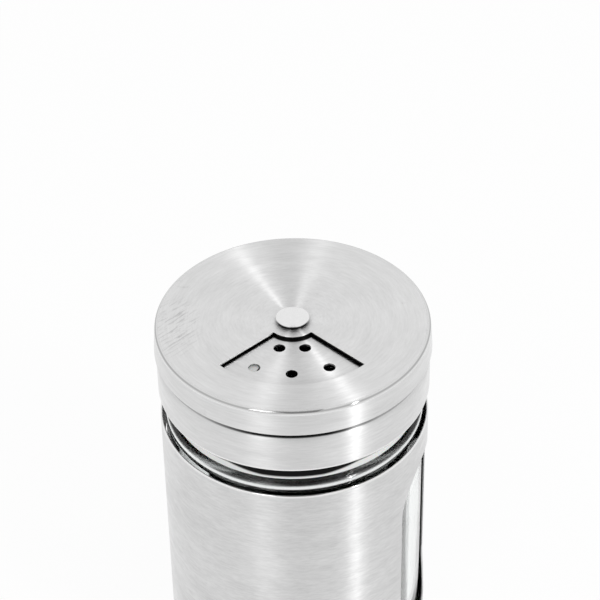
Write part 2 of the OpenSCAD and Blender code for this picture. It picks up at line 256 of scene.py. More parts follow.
GROUPS = {
    "cover": CoverSizes,
    "cap": CapSizes,
    "sleeve": SleeveSizes,
    "jar": JarSizes,
    "insert": InsertSizes,
    "rivet": RivetSizes,
    "colours": FinishColours,
    "studio": StudioSettings,
}


# ---------------------------------------------------------------- profiles


def arc(centre_r, centre_z, radius, start, end, steps=8):
    """Points of an arc in the r-z half plane, from one angle to another in degrees."""
    turns = [math.radians(start + (end - start) * i / steps) for i in range(steps + 1)]
    return [(centre_r + radius * math.cos(t), centre_z + radius * math.sin(t)) for t in turns]


def eased(corners, closed=True, steps=8):
    """A polyline of (r, z, rounding) corners with its corners rounded."""
    points = []
    count = len(corners)
    for i, (r, z, rounding) in enumerate(corners):
        here = Vector((r, z))
        if rounding == 0 or (not closed and i in (0, count - 1)):
            points.append((r, z))
            continue
        back = (Vector(corners[i - 1][:2]) - here).normalized()
        onward = (Vector(corners[(i + 1) % count][:2]) - here).normalized()
        half = back.angle(onward) / 2
        centre = here + (back + onward).normalized() * (rounding / math.sin(half))
        start = here + back * (rounding / math.tan(half)) - centre
        swing = start.angle_signed(here + onward * (rounding / math.tan(half)) - centre)
        for k in range(steps + 1):
            points.append(tuple(centre + Matrix.Rotation(-swing * k / steps, 2) @ start))
    return points


def cover_profile(s):
    """The cover's cut: a flat top and a short flared skirt with a rounded edge."""
    edge = s.radius - s.flare
    under = s.top - s.sheet
    end = s.sheet * 0.49
    return eased([
        (s.bore, s.top, 0), (edge, s.top, s.rounding), (s.radius, s.skirt, end),
        (s.radius - s.sheet, s.skirt, end), (edge - s.sheet, under, s.rounding - s.sheet), (s.bore, under, 0),
    ])


def cap_profile(s):
    """The cap shell's cut: the plate, the drawn wall, the rounded step and the folded hem."""
    drop = s.step_high - s.step_low
    inset = s.radius - s.drawn_radius
    blend = (drop * drop + inset * inset) / (2 * inset)
    reach = math.degrees(math.asin(drop / blend))
    fold = s.sheet * 2
    fold_round = s.sheet * 0.98
    outer = eased([
        (s.bore, s.top, 0), (s.drawn_radius, s.top, s.rounding), (s.drawn_radius, s.step_high, 0),
    ], False)
    step_out = arc(s.radius - blend, s.step_low, blend, reach, 0)
    hem = eased([
        (s.radius, s.step_low, 0), (s.radius, s.foot, fold_round), (s.radius - fold, s.foot, fold_round),
        (s.radius - fold, s.foot + s.hem, 0.1 * MM), (s.radius - s.sheet, s.foot + s.hem, 0),
    ], False)
    step_in = arc(s.radius - s.sheet - blend, s.step_low, blend, 0, reach)
    under = s.top - s.sheet
    inner = eased([
        (s.drawn_radius - s.sheet, s.step_high, 0), (s.drawn_radius - s.sheet, under, s.rounding - s.sheet),
        (s.bore, under, 0),
    ], False)
    return outer + step_out[1:] + hem[1:] + step_in + inner[1:]


def sleeve_profile(s):
    """The sleeve's cut, from the underside of its floor up to the rim and down the inside."""
    inner = s.radius - s.sheet
    fold = s.sheet * math.tan(math.radians(22.5))
    floor = s.lift + s.sheet
    end = s.sheet * 0.49
    return eased([
        (0, s.lift, 0), (s.panel - s.lift, s.lift, 0.4 * MM), (s.panel, 0, 0.3 * MM), (s.radius, 0, s.corner),
        (s.radius, s.rim, end), (inner, s.rim, end), (inner, s.sheet, s.corner - s.sheet),
        (s.panel + fold, s.sheet, 0.3 * MM), (s.panel + fold - s.lift, floor, 0.4 * MM), (0, floor, 0),
    ], False)


def jar_profile(s):
    """The jar's cut, from the hollow under the base up to the lip and down the inside."""
    ball = (s.punt_radius ** 2 + s.punt_height ** 2) / (2 * s.punt_height)
    reach = math.degrees(math.asin(s.punt_radius / ball))
    punt = arc(0, s.foot + s.punt_height - ball, ball, 90, 90 - reach)
    inner = s.radius - s.wall
    mouth = s.neck - s.wall
    walls = eased([
        punt[-1] + (0.3 * MM,), (s.radius, s.foot, s.heel), (s.radius, s.shoulder, s.shoulder_round),
        (s.neck, s.shoulder, 0.8 * MM), (s.neck, s.lip, 0.8 * MM), (mouth, s.lip, 0.5 * MM),
        (mouth, s.shoulder - s.wall, 0.5 * MM), (inner, s.shoulder - s.wall, s.shoulder_round),
        (inner, s.floor, s.inner_heel), (0, s.floor, 0),
    ], False)
    return punt[:-1] + walls


def insert_profile(s):
    """The insert's cut: the deck, the wall in the shell, the taper and the white skirt."""
    under = s.top - s.deck
    return eased([
        (s.hub_hole, s.top, 0), (s.radius, s.top, 1.0 * MM), (s.radius, s.taper, 0.15 * MM),
        (s.skirt, s.taper - 1.0 * MM, 0.3 * MM), (s.skirt, s.foot, 0.2 * MM), (s.bore, s.foot, 0.2 * MM),
        (s.bore, under, 0.2 * MM), (s.hub_hole, under, 0),
    ])


def rivet_profile(s):
    """The rivet's cut: the domed head, its collar, the shank and the upset tail."""
    dome_ball = (s.head ** 2 + s.dome ** 2) / (2 * s.dome)
    dome_reach = math.degrees(math.asin(s.head / dome_ball))
    tail_ball = (s.tail ** 2 + s.tail_height ** 2) / (2 * s.tail_height)
    tail_reach = math.degrees(math.asin(s.tail / tail_ball))
    under = s.top - s.dome - s.edge
    tail_z = RIVET_LOW.z + s.tail_height
    dome = arc(0, s.top - dome_ball, dome_ball, 90, 90 - dome_reach, 16)
    tail = arc(0, RIVET_LOW.z + tail_ball, tail_ball, tail_reach - 90, -90)
    seat = under - s.collar_height
    neck = [(s.head, under), (s.collar, under), (s.collar, seat), (s.shank, seat), (s.shank, tail_z)]
    return dome + neck + tail


# ---------------------------------------------------------------- mesh helpers


def keep(name, mesh):
    """Puts a mesh into the scene under a name."""
    mesh.name = name
    thing = bpy.data.objects.new(name, mesh)
    bpy.context.scene.collection.objects.link(thing)
    return thing


def plain(thing):
    """Turns an object with its modifiers into a plain mesh."""
    graph = bpy.context.evaluated_depsgraph_get()
    mesh = bpy.data.meshes.new_from_object(thing.evaluated_get(graph), depsgraph=graph)
    thing.modifiers.clear()
    spare = thing.data
    thing.data = mesh
    bpy.data.meshes.remove(spare)
    return thing


def drop(*things):
    """Removes helper objects."""
    for thing in things:
        mesh = thing.data
        bpy.data.objects.remove(thing)
        bpy.data.meshes.remove(mesh)


def outward(thing):
    """Merges a mesh's doubles and turns its faces outwards."""
    work = bmesh.new()
    work.from_mesh(thing.data)
    bmesh.ops.remove_doubles(work, verts=work.verts, dist=1e-7)
    bmesh.ops.dissolve_degenerate(work, edges=work.edges, dist=1e-7)
    bmesh.ops.recalc_face_normals(work, faces=work.faces)
    work.to_mesh(thing.data)
    work.free()
    return thing


class Recipe:
    """A Geometry Nodes tree in the making: named inputs, nodes, and an end that sets the material."""

    def __init__(self, name, inputs):
        self.tree = bpy.data.node_groups.new(name, "GeometryNodeTree")
        face = self.tree.interface
        face.new_socket(name="Geometry", in_out="INPUT", socket_type="NodeSocketGeometry")
        for label, kind in inputs.items():
            face.new_socket(name=label, in_out="INPUT", socket_type=kind)
        face.new_socket(name="Geometry", in_out="OUTPUT", socket_type="NodeSocketGeometry")
        self.given = self.tree.nodes.new("NodeGroupInput")

    def add(self, kind, settings=None, inputs=None, output=0):
        """Adds a node and returns one of its outputs."""
        node = self.tree.nodes.new(kind)
        for key, value in (settings or {}).items():
            setattr(node, key, value)
        for key, value in (inputs or {}).items():
            if isinstance(value, bpy.types.NodeSocket):
                self.tree.links.new(value, node.inputs[key])
            else:
                node.inputs[key].default_value = value
        return node.outputs[output]

    def take(self, label):
        """One of the tree's named inputs."""
        return self.given.outputs[label]

    def work(self, operation, first, second):
        """A Math node on two values."""
        return self.add("ShaderNodeMath", {"operation": operation}, {0: first, 1: second})

    def end(self, geometry):
        """Realizes the geometry, gives it its material and closes the tree."""
        real = self.add("GeometryNodeRealizeInstances", None, {"Geometry": geometry})
        smooth = self.add("GeometryNodeSetShadeSmooth", None, {"Geometry": real})
        skin = {"Geometry": smooth, "Material": self.take("Material")}
        done = self.add("GeometryNodeSetMaterial", None, skin)
        out = self.tree.nodes.new("NodeGroupOutput")
        self.tree.links.new(done, out.inputs[0])
        return self.tree


def turned_tree():
    """Turns a profile in the r-z half plane once round the Z axis."""
    path = 0.1
    r = Recipe("Turned Profile", {"Segments": "NodeSocketInt", "Material": "NodeSocketMaterial"})
    curve = r.add("GeometryNodeMeshToCurve", None, {"Mesh": r.take("Geometry")})
    flat = r.add("GeometryNodeTransform", None, {
        "Geometry": curve, "Rotation": (math.pi / 2, 0, 0), "Translation": (-path, 0, 0),
    })
    ring = r.add("GeometryNodeCurvePrimitiveCircle", None, {"Resolution": r.take("Segments"), "Radius": path})
    wall = r.add("GeometryNodeCurveToMesh", None, {"Curve": ring, "Profile Curve": flat})
    closed = r.add("GeometryNodeMergeByDistance", None, {"Geometry": wall, "Distance": 1e-6})
    return r.end(closed)


def spaced_tree():
    """Repeats a shape evenly round the Z axis."""
    r = Recipe("Spaced Round Axis", {"Count": "NodeSocketInt", "Material": "NodeSocketMaterial"})
    points = r.add("GeometryNodePoints", None, {"Count": r.take("Count")})
    step = r.work("DIVIDE", 2 * math.pi, r.take("Count"))
    angle = r.work("MULTIPLY", r.add("GeometryNodeInputIndex"), step)
    spin = r.add("ShaderNodeCombineXYZ", None, {"Z": angle})
    copies = r.add("GeometryNodeInstanceOnPoints", None, {
        "Points": points, "Instance": r.take("Geometry"), "Rotation": spin,
    })
    return r.end(copies)


def punched_tree():
    """Stands a round punch on every point of a hole pattern."""
    r = Recipe("Punched Holes", {
        "Radius": "NodeSocketFloat", "Depth": "NodeSocketFloat", "Material": "NodeSocketMaterial",
    })
    punch = r.add("GeometryNodeMeshCylinder", None, {
        "Vertices": 64, "Radius": r.take("Radius"), "Depth": r.take("Depth"),
    })
    copies = r.add("GeometryNodeInstanceOnPoints", None, {"Points": r.take("Geometry"), "Instance": punch})
    return r.end(copies)


def thread_tree():
    """A ridge that climbs round the axis and fades out at both ends."""
    r = Recipe("Thread Ridge", {
        "Radius": "NodeSocketFloat", "Pitch": "NodeSocketFloat", "Turns": "NodeSocketFloat",
        "Foot": "NodeSocketFloat", "Depth": "NodeSocketFloat", "Half Width": "NodeSocketFloat",
        "Start": "NodeSocketFloat", "Material": "NodeSocketMaterial",
    })
    rise = r.work("MULTIPLY", r.take("Pitch"), r.take("Turns"))
    climb = r.add("GeometryNodeCurveSpiral", None, {
        "Resolution": 96, "Rotations": r.take("Turns"), "Start Radius": r.take("Radius"),
        "End Radius": r.take("Radius"), "Height": rise, "Reverse": True,
    })
    place = r.add("ShaderNodeCombineXYZ", None, {"Z": r.take("Foot")})
    spin = r.add("ShaderNodeCombineXYZ", None, {"Z": r.take("Start")})
    path = r.add("GeometryNodeTransform", None, {"Geometry": climb, "Translation": place, "Rotation": spin})
    along = r.add("GeometryNodeSplineParameter", None, None, "Factor")
    ends = r.work("MULTIPLY", r.work("MULTIPLY", along, r.work("SUBTRACT", 1.0, along)), 40.0)
    fade = r.work("MAXIMUM", r.work("MINIMUM", ends, 1.0), 0.05)
    ring = r.add("GeometryNodeCurvePrimitiveCircle", None, {"Resolution": 16, "Radius": 1.0})
    oval = r.add("ShaderNodeCombineXYZ", None, {"X": r.take("Depth"), "Y": r.take("Half Width"), "Z": 1.0})
    cut = r.add("GeometryNodeTransform", None, {"Geometry": ring, "Scale": oval})
    ridge = r.add("GeometryNodeCurveToMesh", None, {
        "Curve": path, "Profile Curve": cut, "Scale": fade, "Fill Caps": True,
    })
    return r.end(ridge)


def grow(thing, tree, **values):
    """Runs a Geometry Nodes tree on an object and keeps the plain result."""
    live = thing.modifiers.new(tree.name, "NODES")
    live.node_group = tree
    sockets = {
        item.name.lower().replace(" ", "_"): item.identifier
        for item in tree.interface.items_tree if item.item_type == "SOCKET" and item.in_out == "INPUT"
    }
    for label, value in values.items():
        live[sockets[label]] = value
    return plain(thing)


def turned(name, profile, material, segments=192, closed=True):
    """A solid of revolution from a profile of (r, z) points."""
    mesh = bpy.data.meshes.new(name)
    count = len(profile)
    edges = [(i, i + 1) for i in range(count - 1)] + ([(count - 1, 0)] if closed else [])
    mesh.from_pydata([(r, 0, z) for r, z in profile], edges, [])
    thing = grow(keep(name, mesh), turned_tree(), segments=segments, material=material)
    return outward(thing)


def thread(name, radius, foot, jar, ridge, material):
    """A thread's ridge: the jar gives its pitch and turns, and ridge its depth and half width."""
    thing = grow(
        keep(name, bpy.data.meshes.new(name)), thread_tree(), radius=radius, pitch=jar.pitch, turns=jar.turns,
        foot=foot, depth=ridge.thread_depth, half_width=ridge.thread_half, start=0.0, material=material,
    )
    return outward(thing)


def punches(name, places, radius, low, high, material):
    """Round punches through a plate, one on each (x, y) place."""
    mesh = bpy.data.meshes.new(name)
    mesh.from_pydata([(x, y, (low + high) / 2) for x, y in places], [], [])
    return grow(keep(name, mesh), punched_tree(), radius=radius, depth=high - low, material=material)


def sector(name, inner, outer, low, high, span, middle, steps=48):
    """A closed block that covers a sector between two radii; angles from the front to the right."""
    mesh = bpy.data.meshes.new(name)
    work = bmesh.new()
    rows = []
    for i in range(steps + 1):
        t = middle - span / 2 + span * i / steps - math.pi / 2
        rows.append([
            work.verts.new((r * math.cos(t), r * math.sin(t), z))
            for r, z in ((inner, low), (outer, low), (outer, high), (inner, high))
        ])
    for a, b in zip(rows, rows[1:]):
        for k in range(4):
            work.faces.new((a[k], a[(k + 1) % 4], b[(k + 1) % 4], b[k]))
    work.faces.new(rows[0])
    work.faces.new(rows[-1])
    bmesh.ops.recalc_face_normals(work, faces=work.faces)
    work.to_mesh(mesh)
    work.free()
    return keep(name, mesh)


def window_punch(s):
    """A block with a window's outline, through the sleeve's wall at the first window."""
    half = s.window_width / 2
    outline = arc(0, s.window_high - half, half, 0, 180, 48)
    outline += arc(0, s.window_low + half, half, 180, 360, 48)
    work = bmesh.new()
    near = [work.verts.new((x, -s.radius * 0.5, z)) for x, z in outline]
    far = [work.verts.new((x, -s.radius * 1.2, z)) for x, z in outline]
    for i in range(len(outline)):
        k = (i + 1) % len(outline)
        work.faces.new((near[i], near[k], far[k], far[i]))
    work.faces.new(near)
    work.faces.new(far)
    work.transform(Matrix.Rotation(s.window_turn, 4, "Z"))
    bmesh.ops.recalc_face_normals(work, faces=work.faces)
    mesh = bpy.data.meshes.new("window_punch")
    work.to_mesh(mesh)
    work.free()
    return keep("window_punch", mesh)


def take_away(thing, *cutters):
    """Cuts shapes out of an object and removes them."""
    for cutter in cutters:
        cut = thing.modifiers.new("cut", "BOOLEAN")
        cut.operation = "DIFFERENCE"
        cut.solver = "EXACT"
        cut.object = cutter
    plain(thing)
    drop(*cutters)
    return thing


def soften(thing, width, angle=38):
    """Rounds the sharp edges by a hair and evens the shading."""
    work = bmesh.new()
    work.from_mesh(thing.data)
    bmesh.ops.remove_doubles(work, verts=work.verts, dist=2e-7)
    bmesh.ops.dissolve_limit(work, angle_limit=math.radians(0.05), verts=work.verts, edges=work.edges)
    for face in work.faces:
        face.smooth = True
    work.to_mesh(thing.data)
    work.free()
    if width > 0:
        bevel = thing.modifiers.new("edge", "BEVEL")
        bevel.width = width
        bevel.segments = 2
        bevel.limit_method = "ANGLE"
        bevel.angle_limit = math.radians(angle)
        bevel.use_clamp_overlap = False
        bevel.miter_outer = "MITER_ARC"
    even = thing.modifiers.new("even", "WEIGHTED_NORMAL")
    even.weight = 100
    even.keep_sharp = True
    return plain(thing)


def dress(thing, material):
    """Gives an object one material."""
    thing.data.materials.clear()
    thing.data.materials.append(material)
    return thing


# ---------------------------------------------------------------- shader helpers


class Term:
    """A shader socket that plain arithmetic can be written with."""

    def __init__(self, graph, socket):
        self.graph = graph
        self.socket = socket

    def work(self, operation, *others):
        """A Math node on this value and others."""
        return self.graph.add("ShaderNodeMath", {"operation": operation}, dict(enumerate((self, *others))))

    def __add__(self, other):
        return self.work("ADD", other)

    def __sub__(self, other):
        return self.work("SUBTRACT", other)

    def __mul__(self, other):
        return self.work("MULTIPLY", other)

    def __truediv__(self, other):
        return self.work("DIVIDE", other)

    def __pow__(self, other):
        return self.work("POWER", other)

    def __rsub__(self, other):
        return self * -1.0 + other

    __radd__ = __add__
    __rmul__ = __mul__

    def between(self, low, high):
        """0 below low, 1 above high, and an even slope between them."""
        slope = {"Value": self, "From Min": low, "From Max": high, "To Min": 0.0, "To Max": 1.0}
        return self.graph.add("ShaderNodeMapRange", None, slope)

    def below(self, low, high):
        """1 below low, 0 above high, and an even slope between them."""
        return 1.0 - self.between(low, high)

    def within(self, start, full, fade, end):
        """1 from full to fade, 0 outside start and end, and even slopes between them."""
        return self.between(start, full) * self.below(fade, end)


class Finish:
    """A material or a world in the making."""

    def __init__(self, name, library="materials", ending="ShaderNodeOutputMaterial"):
        self.made = getattr(bpy.data, library).new(name)
        self.made.use_nodes = True
        self.tree = self.made.node_tree
        self.tree.nodes.clear()
        self.ending = ending

    def add(self, kind, settings=None, inputs=None, output=0):
        """Adds a node and returns one of its outputs as a term."""
        node = self.tree.nodes.new(kind)
        for key, value in (settings or {}).items():
            setattr(node, key, value)
        for key, value in (inputs or {}).items():
            if isinstance(value, Term):
                self.tree.links.new(value.socket, node.inputs[key])
            else:
                node.inputs[key].default_value = value
        return Term(self, node.outputs[output])

    def spot(self):
        """Object coordinates."""
        return self.add("ShaderNodeTexCoord", None, None, "Object")

    def parts(self, spot):
        """The three parts of a place, and its distance from the axis."""
        outputs = self.add("ShaderNodeSeparateXYZ", None, {0: spot}).socket.node.outputs
        x, y, z = (Term(self, part) for part in outputs)
        return x, y, z, (x * x + y * y + HAIR) ** 0.5

    def point(self, *parts):
        """A place from its parts."""
        return self.add("ShaderNodeCombineXYZ", None, dict(enumerate(parts)))

    def noise(self, spot, scale, detail=2.0, rough=0.5, extra=None):
        """Noise from 0 to 1 on a place; extra is a fourth coordinate."""
        values = {"Vector": spot, "Scale": scale, "Detail": detail, "Roughness": rough}
        if extra is not None:
            values["W"] = extra
        size = "3D" if extra is None else "4D"
        return self.add("ShaderNodeTexNoise", {"noise_dimensions": size}, values)

    def blend(self, mask, first, second):
        """A mix of two colours."""
        return self.add("ShaderNodeMix", {"data_type": "RGBA"}, {0: mask, 6: first, 7: second}, 2)

    def bump(self, height, strength, distance):
        """A normal that follows a height."""
        shape = {"Height": height, "Strength": strength, "Distance": distance}
        return self.add("ShaderNodeBump", None, shape)

    def shader(self, **inputs):
        """The surface shader, closed with the material's output."""
        values = {key.replace("_", " "): value for key, value in inputs.items()}
        return self.close(self.add("ShaderNodeBsdfPrincipled", None, values))

    def close(self, surface):
        """Ends the material or the world in a shader, and hands it over."""
        out = self.tree.nodes.new(self.ending)
        self.tree.links.new(surface.socket, out.inputs["Surface"])
        return self.made


def rgb(colour, level=1.0):
    """A colour with full opacity, made lighter or darker by a level."""
    return tuple(min(1.0, c * level) for c in colour) + (1.0,)


def brushed_steel(name, colour, roughness, brushing, lines, grain, contrast, scuffs=0.0, relief=0.12,
                  sizes=None, dark=None, bright=None, scraped=None):
    """Steel brushed in circles round its axis.

    lines is how many brush lines fill a metre, and grain how often they end on their way round. dark gives
    painted shade: where it is set the colour goes nearly black. bright marks polish, which lowers the
    roughness, and a painted highlight, which lightens the colour a little. Both are functions of the sizes
    and the place.
    scraped is a scuffed patch: its middle and half sizes."""
    f = Finish(name)
    spot = f.spot()
    x, y, z, radius = f.parts(spot)
    across, along = x / radius, y / radius
    lane_share, lane_grain = 0.2, 0.3
    fine_spot = f.point(radius * lines, z * lines, across * grain)
    fine = f.noise(fine_spot, 1.0, 3.0, 0.65, along * grain)
    lane_spot = f.point(radius * lines * lane_share, z * lines * lane_share, across * grain * lane_grain)
    lane = f.noise(lane_spot, 1.0, 2.0, 0.5, along * grain * lane_grain)
    cloud = f.noise(spot, 90.0, 3.0, 0.6)
    tone = fine * 0.55 + lane * 0.3 + cloud * 0.15
    wear = f.noise(spot, 420.0, 4.0, 0.7).between(0.62, 0.78) * cloud.between(0.5, 0.62) * scuffs
    base = f.blend(tone.between(0.3, 0.7), rgb(colour, 1.0 - contrast), rgb(colour, 1.0 + contrast))
    wear_and_painted_light = f.blend(wear, base, rgb(colour, 0.62))
    rough = roughness * (0.86 + 0.28 * fine) + wear * 0.12
    if scraped:
        middle_x, middle_y, half_x, half_y = scraped
        side, depth = (x - middle_x) / half_x, (y - middle_y) / half_y
        patch = (side * side + depth * depth).below(0.2, 1.0)
        slanted = f.point((x + y) * 160.0, (y - x) * 1300.0)
        streaks = f.noise(slanted, 1.0, 4.0, 0.7).between(0.50, 0.64)
        wear_and_painted_light = f.blend(streaks * patch * 0.55, wear_and_painted_light, rgb(colour, 0.5))
    # Polish lowers the roughness here, and the colour is lightened a little as a painted highlight.
    if bright:
        smooth = bright(sizes, x, y, z, radius)
        rough = rough * (1.0 - 0.7 * smooth)
        wear_and_painted_light = f.blend(smooth, wear_and_painted_light, rgb(colour, 1.08))
    # Painted shade: here the colour goes nearly black.
    if dark:
        wear_and_painted_light = f.blend(dark(sizes, x, y, z, radius), wear_and_painted_light, rgb(colour, 0.02))
    return f.shader(
        Base_Color=wear_and_painted_light, Metallic=1.0, Roughness=rough, Anisotropic=brushing, Anisotropic_Rotation=0.25,
        Normal=f.bump(fine * 0.7 + lane * 0.3, relief, 0.00002),
    )


def polished_steel(name, colour):
    """Plain bright steel with faint random marks."""
    f = Finish(name)
    spot = f.spot()
    marks = f.noise(spot, 1500.0, 3.0, 0.6)
    cloud = f.noise(spot, 260.0, 2.0, 0.5)
    base = f.blend(cloud, rgb(colour, 0.95), rgb(colour, 1.05))
    return f.shader(
        Base_Color=base, Metallic=1.0, Roughness=0.16 + 0.12 * marks, Normal=f.bump(marks, 0.08, 0.00002)
    )


def clear_glass(name, colour, sizes):
    """Clear moulded glass, faintly uneven: painted shade and frosting on the shoulder, and metallic lines
    round it as painted highlights.
    """
    f = Finish(name)
    spot = f.spot()
    x, y, z, radius = f.parts(spot)
    top = sizes.shoulder
    # Metallic lines round the shoulder's edge: painted highlights.
    line = z.within(top - 1.5 * MM, top - 1.2 * MM, top - 0.8 * MM, top - 0.4 * MM)
    ring = z.within(top - 2.3 * MM, top - 2.1 * MM, top - 1.9 * MM, top - 1.8 * MM)
    outside = radius.between(sizes.radius - 1.85 * MM, sizes.radius - 1.35 * MM)
    line = (line + ring * 0.25) * outside
    # On the shoulder the glass is rougher, and its colour is darkened as painted shade.
    frost_and_painted_shade = z.within(top - 1.5 * MM, top - 0.8 * MM, top + 1.0 * MM, top + 3.0 * MM) * (1.0 - line)
    swell = f.noise(spot, 70.0, 1.0, 0.4)
    smear = f.noise(spot, 240.0, 3.0, 0.6)
    return f.shader(
        Base_Color=f.blend(frost_and_painted_shade, rgb(colour), rgb(colour, 0.2)), Metallic=line * 0.8, IOR=1.5,
        Transmission_Weight=1.0, Roughness=smear.between(0.55, 0.9) * 0.03 + frost_and_painted_shade * 0.22,
        Normal=f.bump(swell, 0.10, 0.0002),
    )


def moulded_plastic(name, colour, roughness, sizes=None, dark=None):
    """Natural white moulded plastic, slightly cloudy; dark is a function of the sizes and the place that
    gives painted shade.
    """
    f = Finish(name)
    spot = f.spot()
    cloud = f.noise(spot, 160.0, 3.0, 0.55)
    grain = f.noise(spot, 2600.0, 2.0, 0.5)
    base = f.blend(cloud, rgb(colour, 0.965), rgb(colour, 1.02))
    # Painted shade: where dark is set, the colour goes nearly black and turns metallic, so the plastic shows
    # no sheen there.
    plastic_painted_shade = 0.0
    if dark:
        plastic_painted_shade = dark(sizes, *f.parts(spot))
        base = f.blend(plastic_painted_shade, base, rgb(colour, 0.01))
    return f.shader(
        Base_Color=base, Metallic=plastic_painted_shade, Roughness=roughness * (0.85 + 0.3 * grain), IOR=1.5,
        Subsurface_Weight=0.12, Subsurface_Scale=0.002, Normal=f.bump(grain, 0.06, 0.00003),
    )


def foam(name, colour):
    """Closed-cell foam: small open pores on a matt face."""
    f = Finish(name)
    spot = f.spot()
    cells = f.add("ShaderNodeTexVoronoi", {"feature": "F1"}, {"Vector": spot, "Scale": 2400.0})
    cloud = f.noise(spot, 300.0, 3.0, 0.6)
    pores = cells.between(0.2, 0.75)
    base = f.blend(pores * 0.7 + cloud * 0.3, rgb(colour, 0.88), rgb(colour, 1.04))
    return f.shader(Base_Color=base, Roughness=0.78 + 0.12 * cloud, Normal=f.bump(1.0 - pores, 0.4, 0.00008))


def dusty_rubber(name, colour):
    """Soft pale rubber with a dry, slightly mottled face."""
    f = Finish(name)
    spot = f.spot()
    mottle = f.noise(spot, 500.0, 4.0, 0.65)
    grain = f.noise(spot, 3200.0, 2.0, 0.5)
    base = f.blend(mottle, rgb(colour, 0.93), rgb(colour, 1.03))
    return f.shader(Base_Color=base, Roughness=0.5 + 0.2 * mottle, Normal=f.bump(grain, 0.15, 0.00003))


# ---------------------------------------------------------------- where shade and highlights are painted, and steel polished

# Each takes a piece's sizes and a place on it, and says from 0 to 1 how much shade is painted there, or
# how much the steel is polished and lightened as a painted highlight.


def sleeve_painted_shade(s, x, y, z, radius):
    """Painted shade on the sleeve's inside, from above its floor to just below its rim."""
    inside = radius.below(s.radius - 0.4 * MM, s.radius - 0.25 * MM)
    under_rim = z.below(s.rim - 0.8 * MM, s.rim - 0.5 * MM)
    above_floor = z.between(s.corner, s.corner + 1.5 * MM)
    return 0.95 * inside * under_rim * above_floor


def sleeve_polish_and_painted_highlight(s, x, y, z, radius):
    """The sleeve's rim: polished, and lightened a little as a painted highlight."""
    return z.between(s.rim - 0.6 * MM, s.rim - 0.3 * MM)


def cap_painted_shade(s, x, y, z, radius):
    """Painted shade in the gap under the cover's skirt, fainter away from the front, and on the plate round
    the rivet.
    """
    gap = z.within(s.step_high - 0.85 * MM, s.step_high - 0.6 * MM, s.top - 0.10 * MM, s.top - 0.05 * MM)
    strength = 1.0 - 0.6 * (y / radius).between(-0.96, -0.78)
    return gap * strength + radius.below(5.75 * MM, 6.0 * MM)


def cap_polish_and_painted_highlight(s, x, y, z, radius):
    """The lower edge of the hem: polished, and lightened a little as a painted highlight."""
    return z.below(s.foot + 0.45 * MM, s.foot + 0.75 * MM)


def insert_painted_shade(s, x, y, z, radius):
    """Painted shade: the hem's shadow on the wall between the white edge and the ribs, the hub, and faintly
    the deck.
    """
    # The painted shadow starts higher away from the front, so more of the white edge shows there.
    white_edge = 1.1 * MM * (y / radius).between(-0.97, -0.86)
    wall = (z - white_edge).between(s.foot + 0.4 * MM, s.foot + 0.9 * MM)
    hub = radius.below(9.0 * MM, 9.5 * MM)
    deck = z.between(s.top - 2.5 * MM, s.top - 1.5 * MM) * 0.3
    return (wall * z.below(s.rib_low - 1.0 * MM, s.rib_low)).work("MAXIMUM", hub).work("MAXIMUM", deck)


def rivet_painted_shade(s, x, y, z, radius):
    """Painted shade on the head's underside and its straight edge, where the head's shadow falls; fainter
    away from the front.
    """
    low = s.top - s.dome - s.edge
    side = 0.7 * (y / radius).between(-0.6, -0.3) * z.between(low + 0.05 * MM, low + 0.08 * MM)
    return z.below(low + 0.50 * MM, low + 0.58 * MM) * (1.0 - side)


def cover_painted_shade(s, x, y, z, radius):
    """Painted shade on the window's cut edges and the underside, and a faint painted dark reflection round
    the outer corner.
    """
    # The painted shade on the cut edges is thinner on the left, where light falls on the cut edge.
    thin_side = 0.28 * MM * x.below(-4.4 * MM, -3.6 * MM)
    cuts = (z + thin_side).below(s.top - 0.12 * MM, s.top - 0.07 * MM)
    near_window = radius.below(s.window_outer + 1.0 * MM, s.window_outer + 2.0 * MM)
    # A faint painted dark reflection on the outer corner, with a darker line round it.
    corner = radius.between(s.radius - 1.2 * MM, s.radius - 0.9 * MM)
    high = z.between(s.top - 0.85 * MM, s.top - 0.65 * MM)
    line = z.within(s.top - 0.5 * MM, s.top - 0.4 * MM, s.top - 0.2 * MM, s.top - 0.1 * MM)
    round_line = radius.between(s.radius - 1.2 * MM, s.radius - 1.0 * MM)
    return cuts * near_window + 0.2 * corner * high + 0.3 * line * round_line


def cover_polish_and_painted_highlight(s, x, y, z, radius):
    """The cover's rounded outer corner: polished, and lightened a little as a painted highlight."""
    high = z.between(s.top - 1.0 * MM, s.top - 0.7 * MM)
    return radius.between(s.radius - 1.1 * MM, s.radius - 0.8 * MM) * high


# ---------------------------------------------------------------- operators


def bench():
    """The settings that the operators share."""
    return bpy.context.scene.shaker


def on_front(radius, degrees):
    """The (x, y) place at a radius, turned from the front to the right."""
    t = math.radians(degrees)
    return radius * math.sin(t), -radius * math.cos(t)


class SHAKER_OT_sleeve(bpy.types.Operator):
    """Makes the brushed sleeve with its windows, and finishes the pad in it"""

    bl_idname = "shaker.sleeve"
    bl_label = "Sleeve and Pad"

    def execute(self, context):
        s, c = bench().sleeve, bench().colours
        steel = brushed_steel(
            "sleeve_brushed_steel", c.steel, 0.38, c.brushing, BRUSH_LINES, grain=14.0, contrast=0.15,
            scuffs=0.35, relief=0.8, sizes=s, dark=sleeve_painted_shade, bright=sleeve_polish_and_painted_highlight,
        )
        wall = turned("windowed_sleeve", sleeve_profile(s), steel, FINE_TURN, closed=False)
        cutter = grow(window_punch(s), spaced_tree(), count=s.windows, material=steel)
        soften(take_away(wall, cutter), SHEET_EDGE)
        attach(wall, "sleeve")
        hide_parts("sleeve")
        dress(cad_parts["base_pad"], foam("white_foam", c.pad))
        return {"FINISHED"}


